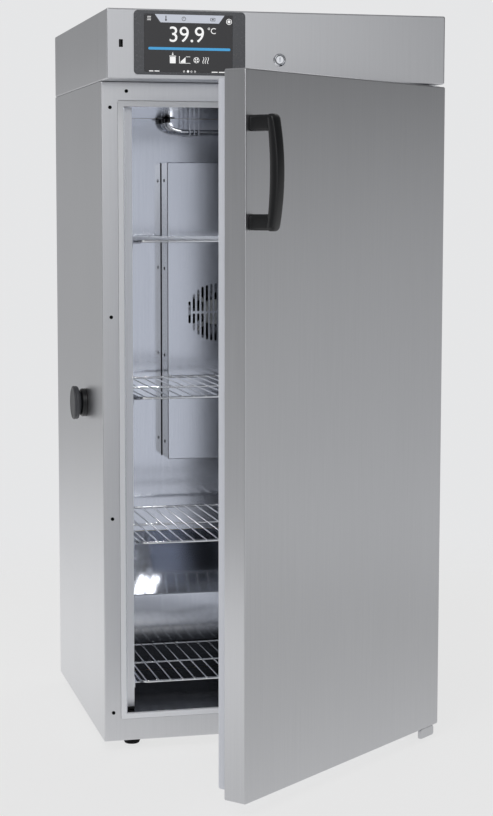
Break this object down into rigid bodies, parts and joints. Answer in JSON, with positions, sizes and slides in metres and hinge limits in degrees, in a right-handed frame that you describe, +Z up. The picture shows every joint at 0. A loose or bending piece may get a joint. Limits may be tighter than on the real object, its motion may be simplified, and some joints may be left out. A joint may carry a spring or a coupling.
{
  "type": "laboratory incubator",
  "caption": "Upright stainless laboratory incubator: insulated chamber with wire shelves, fan cover and heater, one hinged door ajar, touch display hood.",
  "frame": {"origin": "on the floor, under the middle of the bounding box of the whole part as it stands at rest, with its door ajar", "axes": "+X to the cabinet's right as seen from the front, +Y from its front to its back, +Z up"},
  "size_m": [0.6343, 1.0015, 1.298],
  "materials": {
    "brushed_outer_steel": "satin",
    "polished_liner_steel": "gloss",
    "shelf_wire": "gloss",
    "zinc_plate": "matte",
    "insulation_foam": "matte",
    "trim_plastic": "satin",
    "gasket": "matte",
    "black_plastic": "satin",
    "display_surround": "gloss",
    "display_screen": "gloss",
    "circuit_board": "satin",
    "bright_metal": "polished",
    "black_enamel": "satin"
  },
  "bodies": {
    "cabinet": {"back_panel": "brushed_outer_steel", "base_panel": "zinc_plate", "compressor": "black_enamel", "condenser": "zinc_plate", "control_board": "circuit_board", "control_fascia": "brushed_outer_steel", "display_bezel": "display_surround", "display_screen": "display_screen", "duct_panel_left": "polished_liner_steel", "duct_panel_right": "polished_liner_steel", "fan_cover": "polished_liner_steel", "fan_motor": "zinc_plate", "front_frame": "brushed_outer_steel", "heater_clip": "polished_liner_steel", "heater_element": "bright_metal", "heater_gland": "black_plastic", "hinge_bracket_bottom": "zinc_plate", "hinge_bracket_top": "zinc_plate", "hood_cover": "brushed_outer_steel", "insulation_foam": "insulation_foam", "liner_back": "polished_liner_steel", "liner_ceiling": "polished_liner_steel", "liner_floor": "polished_liner_steel", "liner_left": "polished_liner_steel", "liner_right": "polished_liner_steel", "lock_barrel": "bright_metal", "port_collar": "black_plastic", "power_inlet": "black_plastic", "runner_1_left": "polished_liner_steel", "runner_1_right": "polished_liner_steel", "runner_2_left": "polished_liner_steel", "runner_2_right": "polished_liner_steel", "runner_3_left": "polished_liner_steel", "runner_3_right": "polished_liner_steel", "runner_4_left": "polished_liner_steel", "runner_4_right": "polished_liner_steel", "side_panel_left": "brushed_outer_steel", "side_panel_right": "brushed_outer_steel", "step_cover": "polished_liner_steel", "temperature_probe": "bright_metal", "top_deck": "zinc_plate", "trim_frame": "trim_plastic", "usb_socket": "bright_metal"},
    "door": {"door_skin": "brushed_outer_steel", "door_liner": "polished_liner_steel", "door_foam": "insulation_foam", "door_gasket": "gasket", "door_handle": "black_plastic", "door_pivot_block": "brushed_outer_steel"},
    "shelf_1_body": {"shelf_1": "shelf_wire"},
    "shelf_2_body": {"shelf_2": "shelf_wire"},
    "shelf_3_body": {"shelf_3": "shelf_wire"},
    "shelf_4_body": {"shelf_4": "shelf_wire"},
    "lock": {"lock_core": "bright_metal"},
    "plug": {"port_plug": "black_plastic"},
    "fan": {"fan_impeller": "black_plastic"},
    "foot_front_left_body": {"foot_front_left": "black_plastic"},
    "foot_front_right_body": {"foot_front_right": "black_plastic"},
    "foot_rear_left_body": {"foot_rear_left": "black_plastic"},
    "foot_rear_right_body": {"foot_rear_right": "black_plastic"}
  },
  "joints": [
    {"name": "door_swing", "type": "hinge", "parent": "cabinet", "child": "door", "pos_m": [0.2833, -0.0752, 0.6], "axis": [0, 0, 1], "range_deg": [-40, 60]},
    {"name": "shelf_1_slide", "type": "slide", "parent": "cabinet", "child": "shelf_1_body", "axis": [0, -1, 0], "range_m": [0, 0.04]},
    {"name": "shelf_2_slide", "type": "slide", "parent": "cabinet", "child": "shelf_2_body", "axis": [0, -1, 0], "range_m": [0, 0.04]},
    {"name": "shelf_3_slide", "type": "slide", "parent": "cabinet", "child": "shelf_3_body", "axis": [0, -1, 0], "range_m": [0, 0.04]},
    {"name": "shelf_4_slide", "type": "slide", "parent": "cabinet", "child": "shelf_4_body", "axis": [0, -1, 0], "range_m": [0, 0.04]},
    {"name": "lock_turn", "type": "hinge", "parent": "cabinet", "child": "lock", "pos_m": [0.0078, -0.0907, 1.217], "axis": [0, 1, 0], "range_deg": [0, 90]},
    {"name": "plug_pull", "type": "slide", "parent": "cabinet", "child": "plug", "axis": [-1, 0, 0], "range_m": [0, 0.07]},
    {"name": "fan_spin", "type": "hinge", "parent": "cabinet", "child": "fan", "pos_m": [0.0078, 0.4348, 0.757], "axis": [0, 1, 0], "continuous": true},
    {"name": "foot_front_left_turn", "type": "hinge", "parent": "cabinet", "child": "foot_front_left_body", "pos_m": [-0.2332, 0.0208, 0.01], "axis": [0, 0, 1], "continuous": true},
    {"name": "foot_front_right_turn", "type": "hinge", "parent": "cabinet", "child": "foot_front_right_body", "pos_m": [0.2488, 0.0208, 0.01], "axis": [0, 0, 1], "continuous": true},
    {"name": "foot_rear_left_turn", "type": "hinge", "parent": "cabinet", "child": "foot_rear_left_body", "pos_m": [-0.2332, 0.4408, 0.01], "axis": [0, 0, 1], "continuous": true},
    {"name": "foot_rear_right_turn", "type": "hinge", "parent": "cabinet", "child": "foot_rear_right_body", "pos_m": [0.2488, 0.4408, 0.01], "axis": [0, 0, 1], "continuous": true}
  ]
}
